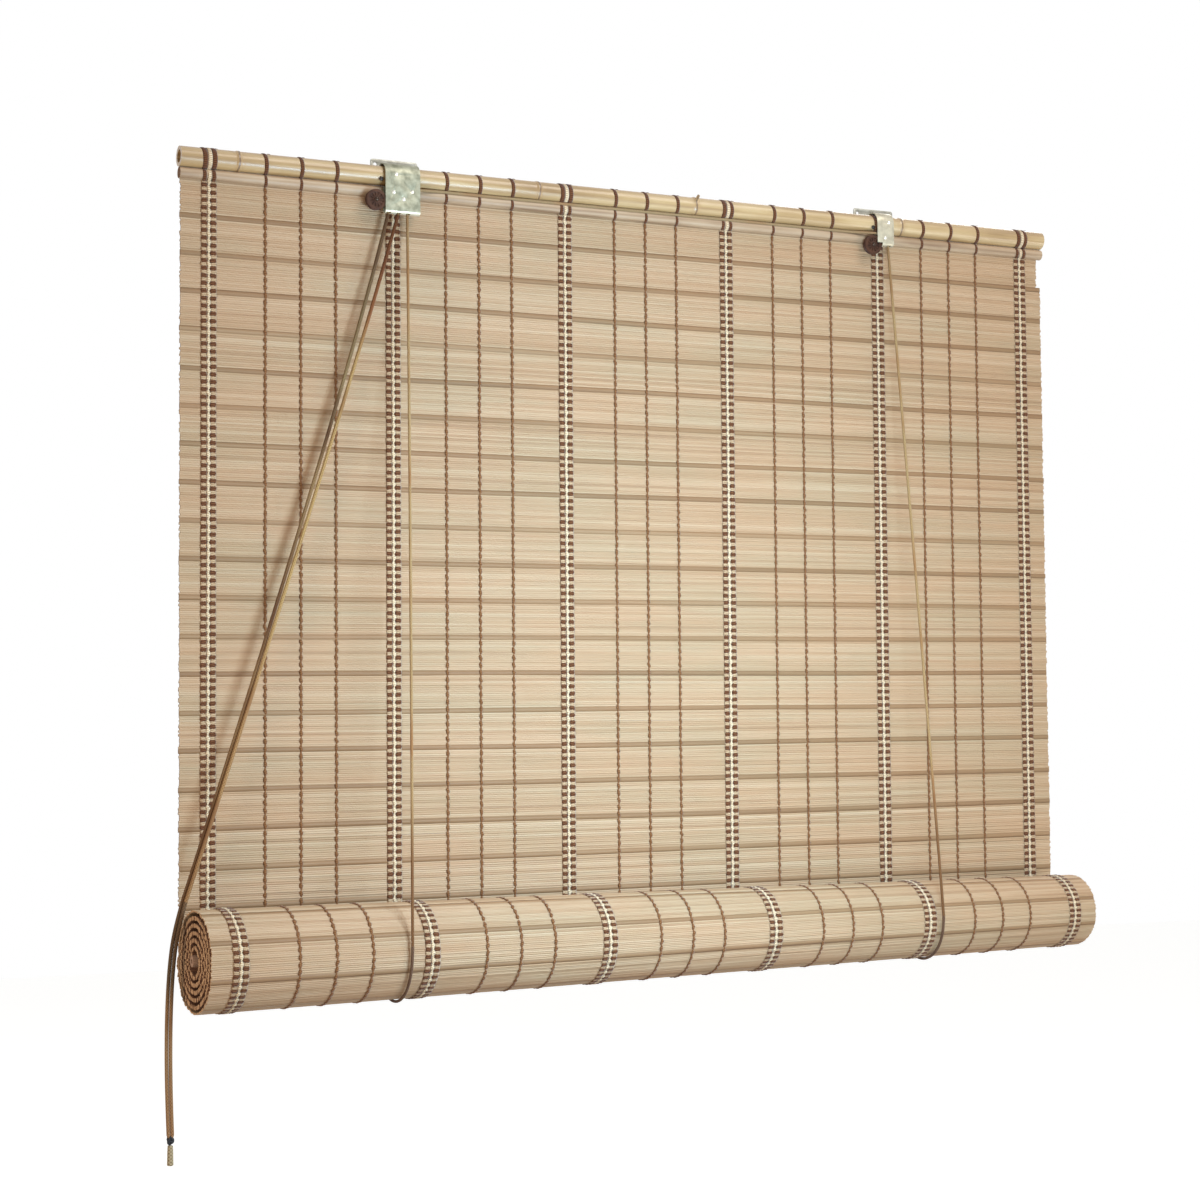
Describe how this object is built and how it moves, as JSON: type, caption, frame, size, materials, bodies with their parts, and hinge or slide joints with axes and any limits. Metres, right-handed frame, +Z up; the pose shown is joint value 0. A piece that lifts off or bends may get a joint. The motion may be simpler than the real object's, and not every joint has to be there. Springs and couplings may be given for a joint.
{
  "type": "roll up blind",
  "caption": "Half rolled bamboo reed blind with a cane head pole, two metal pulley brackets, lift cords under the roll and joined pull cords.",
  "frame": {"origin": "middle of the head pole, on its axis", "axes": "+X along the width, to the right seen from the room; +Y to the wall; +Z up"},
  "size_m": [1.2241, 0.1364, 1.1681],
  "materials": {
    "bamboo_cane": "semi gloss",
    "pale_stick": "satin",
    "reed": "matte",
    "brown_warp": "matte",
    "plated_sheet": "dull plated",
    "grey_sheet": "satin",
    "brown_plastic": "satin",
    "bright_steel": "polished",
    "dark_steel": "satin",
    "cord": "woven",
    "dark_knot": "woven",
    "bound_tip": "woven"
  },
  "bodies": {
    "headrail": {"top_pole": "bamboo_cane", "batten": "pale_stick", "hanging_mat": "reed", "pole_band_wraps": "brown_warp", "pole_thread_wraps": "brown_warp", "hanging_band_1": "brown_warp", "hanging_band_2": "brown_warp", "hanging_band_3": "brown_warp", "hanging_band_4": "brown_warp", "hanging_band_5": "brown_warp", "hanging_band_6": "brown_warp", "hanging_threads_1": "brown_warp", "hanging_threads_2": "brown_warp", "hanging_threads_3": "brown_warp", "hanging_threads_4": "brown_warp", "hanging_threads_5": "brown_warp", "lock_bracket": "plated_sheet", "guide_bracket": "plated_sheet", "lock_hanger": "grey_sheet", "guide_hanger": "grey_sheet", "axles": "bright_steel", "bracket_nails": "bright_steel", "stop_nails": "dark_steel", "cord_tacks": "dark_steel", "left_lift_cord_front": "cord", "left_lift_cord_back": "cord", "right_lift_cord_front": "cord", "right_lift_cord_back": "cord", "left_cord_in_lock": "cord", "crossing_cord": "cord", "pull_cord_a_upper": "cord", "pull_cord_b_upper": "cord"},
    "lift_carriage": {"left_lift_cord_loop": "cord", "right_lift_cord_loop": "cord"},
    "roll": {"rolled_mat": "reed", "bottom_rod": "pale_stick", "rolled_band_1": "brown_warp", "rolled_band_2": "brown_warp", "rolled_band_3": "brown_warp", "rolled_band_4": "brown_warp", "rolled_band_5": "brown_warp", "rolled_band_6": "brown_warp", "rolled_threads_1": "brown_warp", "rolled_threads_2": "brown_warp", "rolled_threads_3": "brown_warp", "rolled_threads_4": "brown_warp", "rolled_threads_5": "brown_warp"},
    "pull_end": {"pull_cord_a_tail": "cord", "pull_cord_b_tail": "cord", "pull_knot": "dark_knot", "pull_tip": "bound_tip"},
    "sheave_a": {"lock_sheave_a": "brown_plastic"},
    "sheave_b": {"lock_sheave_b": "brown_plastic"},
    "sheave_c": {"guide_sheave": "brown_plastic"},
    "wheel_a": {"lock_wheel": "brown_plastic"},
    "wheel_b": {"guide_wheel": "brown_plastic"}
  },
  "joints": [
    {"name": "lift", "type": "slide", "parent": "headrail", "child": "lift_carriage", "axis": [0, 0, 1], "range_m": [0, 0.78], "deforming": ["hanging_mat", "hanging_band_1", "hanging_band_2", "hanging_band_3", "hanging_band_4", "hanging_band_5", "hanging_band_6", "hanging_threads_1", "hanging_threads_2", "hanging_threads_3", "hanging_threads_4", "hanging_threads_5", "left_lift_cord_front", "right_lift_cord_front", "left_lift_cord_back", "right_lift_cord_back", "pull_cord_a_upper", "pull_cord_b_upper"]},
    {"name": "roll_spin", "type": "hinge", "parent": "lift_carriage", "child": "roll", "pos_m": [0, -0.0531, -0.9101], "axis": [0.9999, 0.0107, 0.0107], "range_deg": [-821, 0]},
    {"name": "pull", "type": "slide", "parent": "lift_carriage", "child": "pull_end", "axis": [0, 0, 1], "range_m": [-2.34, 0], "deforming": ["pull_cord_a_tail", "pull_cord_b_tail"]},
    {"name": "sheave_a_spin", "type": "hinge", "parent": "headrail", "child": "sheave_a", "pos_m": [-0.3436, -0.012, -0.022], "axis": [0, 1, 0], "continuous": true},
    {"name": "sheave_b_spin", "type": "hinge", "parent": "headrail", "child": "sheave_b", "pos_m": [-0.331, -0.012, -0.0295], "axis": [0, 1, 0], "continuous": true},
    {"name": "sheave_c_spin", "type": "hinge", "parent": "headrail", "child": "sheave_c", "pos_m": [0.344, -0.012, -0.01955], "axis": [0, 1, 0], "continuous": true},
    {"name": "wheel_a_spin", "type": "hinge", "parent": "headrail", "child": "wheel_a", "pos_m": [-0.365, -0.012, -0.032], "axis": [0, 1, 0], "continuous": true},
    {"name": "wheel_b_spin", "type": "hinge", "parent": "headrail", "child": "wheel_b", "pos_m": [0.3262, -0.012, -0.0295], "axis": [0, 1, 0], "continuous": true}
  ],
  "couplings": [
    {"joint": "roll_spin", "follows": "lift", "rad_per_m": -18.315},
    {"joint": "pull", "follows": "lift", "ratio": -3}
  ]
}
